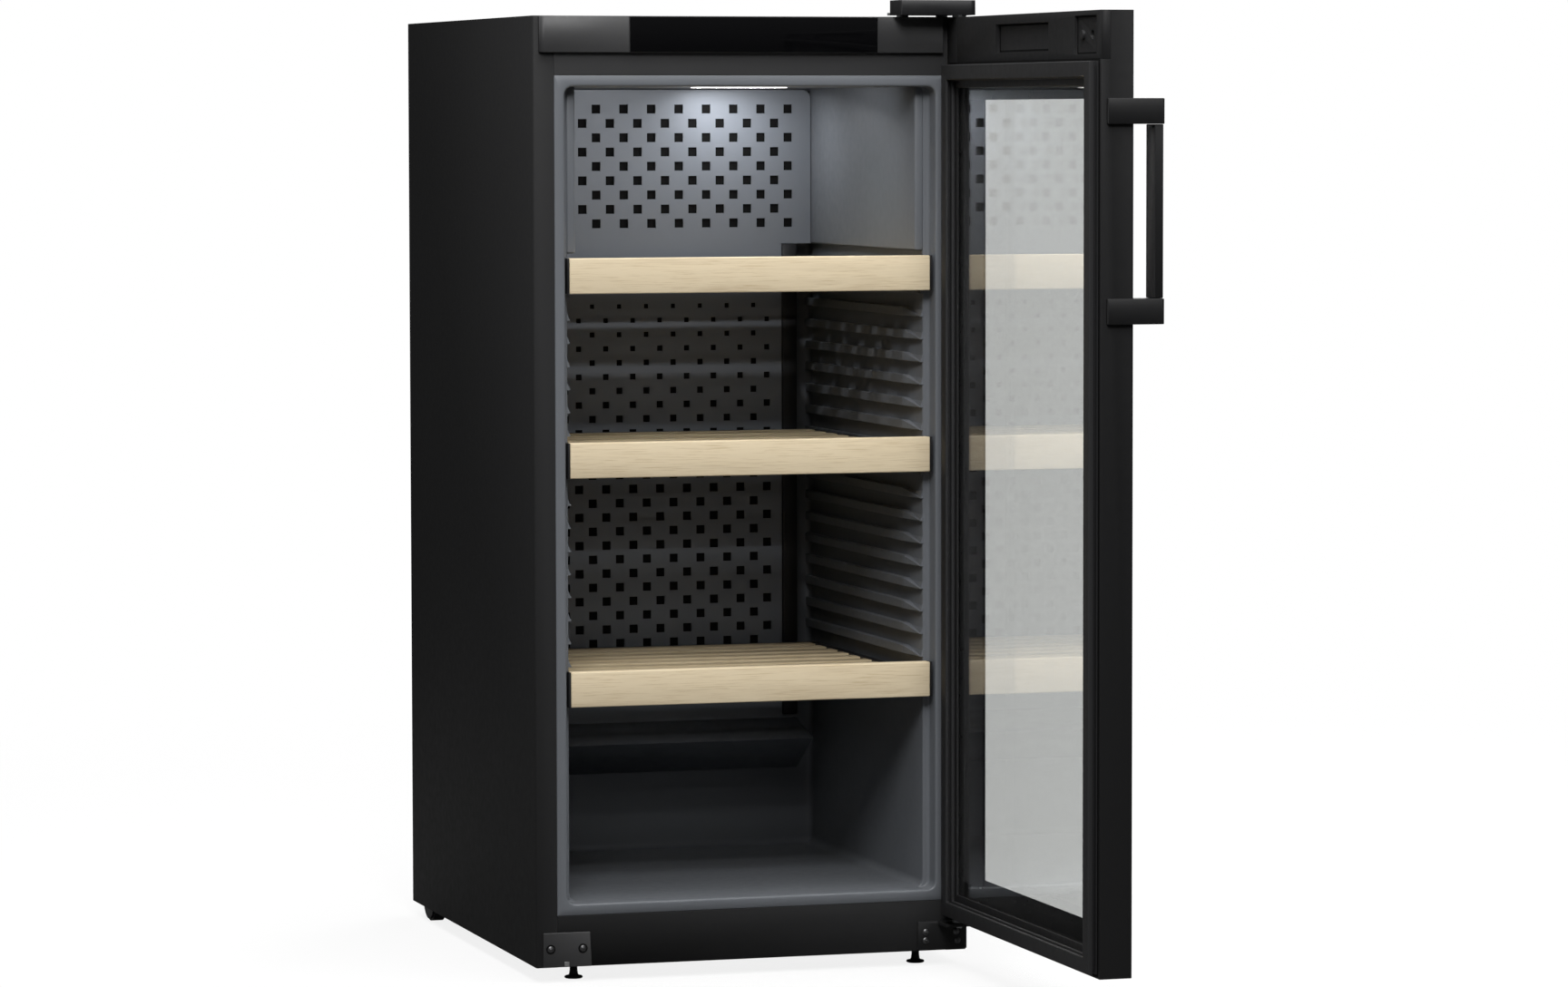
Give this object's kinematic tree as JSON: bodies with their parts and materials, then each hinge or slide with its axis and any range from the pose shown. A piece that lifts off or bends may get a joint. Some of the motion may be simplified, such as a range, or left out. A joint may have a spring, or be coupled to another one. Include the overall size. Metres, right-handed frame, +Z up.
{
  "type": "wine cooler",
  "caption": "Tall freestanding wine cabinet with a glazed door open on right-hand hinges, pull-out wooden-fronted shelves, a control panel along the top and a cooling unit at the lower back.",
  "frame": {"origin": "centre of the footprint on the floor, with the door open square", "axes": "+Z up, -Y out of the front, +X towards the hinge side; the door stands open in the rest pose"},
  "size_m": [0.65, 1.312, 1.293],
  "materials": {
    "black_steel": "matt black painted sheet",
    "black_profile": "matt black coated profile",
    "dark_plastic": "matt dark grey",
    "grey_liner": "smooth satin grey",
    "grey_panel": "satin grey, perforated",
    "black_glass": "polished black",
    "pale_wood": "untreated beech, fine grain",
    "black_plastic": "matt black",
    "zinc": "zinc-plated",
    "foam": "foamed insulation",
    "rubber": "matt grey seal",
    "board": "circuit board",
    "lens": "clear-white lens",
    "glass": "clear, black printed border"
  },
  "bodies": {
    "cabinet": {"side_panel_left": "black_steel", "side_panel_right": "black_steel", "top_panel": "black_steel", "rear_panel": "zinc", "base_pan": "zinc", "front_plinth": "black_steel", "front_rail": "dark_plastic", "insulation_foam": "foam", "inner_liner": "grey_liner", "rear_air_panel": "grey_panel", "lower_air_guide": "grey_panel", "light_lens": "lens", "evaporator": "zinc", "fan_housing": "black_plastic", "compressor": "black_steel", "condenser": "black_steel", "drip_tray": "black_plastic", "power_inlet": "black_plastic", "control_bezel": "dark_plastic", "control_glass": "black_glass", "control_board": "board", "top_hinge_bracket": "zinc", "top_hinge_pin": "zinc", "top_hinge_cover": "black_plastic", "bottom_hinge_bracket": "black_steel", "bottom_hinge_pin": "zinc", "corner_cover": "dark_plastic", "roller_housing_left": "zinc", "roller_housing_right": "zinc", "shelf_1_rail_left": "black_plastic", "shelf_1_rail_right": "black_plastic", "shelf_2_rail_left": "black_plastic", "shelf_2_rail_right": "black_plastic", "shelf_3_rail_left": "black_plastic", "shelf_3_rail_right": "black_plastic"},
    "door": {"door_frame": "black_profile", "door_top_cap": "dark_plastic", "door_inner_frame": "dark_plastic", "door_outer_glass": "glass", "door_inner_glass": "glass", "door_glass_spacer": "black_plastic", "door_gasket": "rubber", "handle_bracket_lower": "black_profile", "handle_bracket_upper": "black_profile", "handle_bar": "black_profile"},
    "shelf_1": {"shelf_1_front_board": "pale_wood", "shelf_1_carrier": "black_plastic", "shelf_1_slats": "pale_wood"},
    "shelf_2": {"shelf_2_front_board": "pale_wood", "shelf_2_carrier": "black_plastic", "shelf_2_slats": "pale_wood"},
    "shelf_3": {"shelf_3_front_board": "pale_wood", "shelf_3_carrier": "black_plastic", "shelf_3_slats": "pale_wood"},
    "foot_left": {"front_foot_left": "black_plastic"},
    "foot_right": {"front_foot_right": "black_plastic"},
    "roller_left": {"rear_roller_left": "black_plastic"},
    "roller_right": {"rear_roller_right": "black_plastic"},
    "fan": {"fan_rotor": "black_plastic"}
  },
  "joints": [
    {"name": "door_hinge", "type": "hinge", "parent": "cabinet", "child": "door", "pos_m": [0.2537, -0.07225, 0.67], "axis": [0, 0, 1], "range_deg": [-90, 15]},
    {"name": "shelf_1_slide", "type": "slide", "parent": "cabinet", "child": "shelf_1", "axis": [0, -1, 0], "range_m": [0, 0.36]},
    {"name": "shelf_2_slide", "type": "slide", "parent": "cabinet", "child": "shelf_2", "axis": [0, -1, 0], "range_m": [0, 0.36]},
    {"name": "shelf_3_slide", "type": "slide", "parent": "cabinet", "child": "shelf_3", "axis": [0, -1, 0], "range_m": [0, 0.36]},
    {"name": "foot_left_level", "type": "slide", "parent": "cabinet", "child": "foot_left", "axis": [0, 0, -1], "range_m": [-0.004, 0.012]},
    {"name": "foot_right_level", "type": "slide", "parent": "cabinet", "child": "foot_right", "axis": [0, 0, -1], "range_m": [-0.004, 0.012]},
    {"name": "roller_left_spin", "type": "hinge", "parent": "cabinet", "child": "roller_left", "pos_m": [-0.30855, 0.585, 0.034], "axis": [1, 0, 0], "continuous": true},
    {"name": "roller_right_spin", "type": "hinge", "parent": "cabinet", "child": "roller_right", "pos_m": [0.25545, 0.585, 0.034], "axis": [1, 0, 0], "continuous": true},
    {"name": "fan_spin", "type": "hinge", "parent": "cabinet", "child": "fan", "pos_m": [-0.02655, 0.465, 0.84], "axis": [0, 1, 0], "continuous": true}
  ]
}
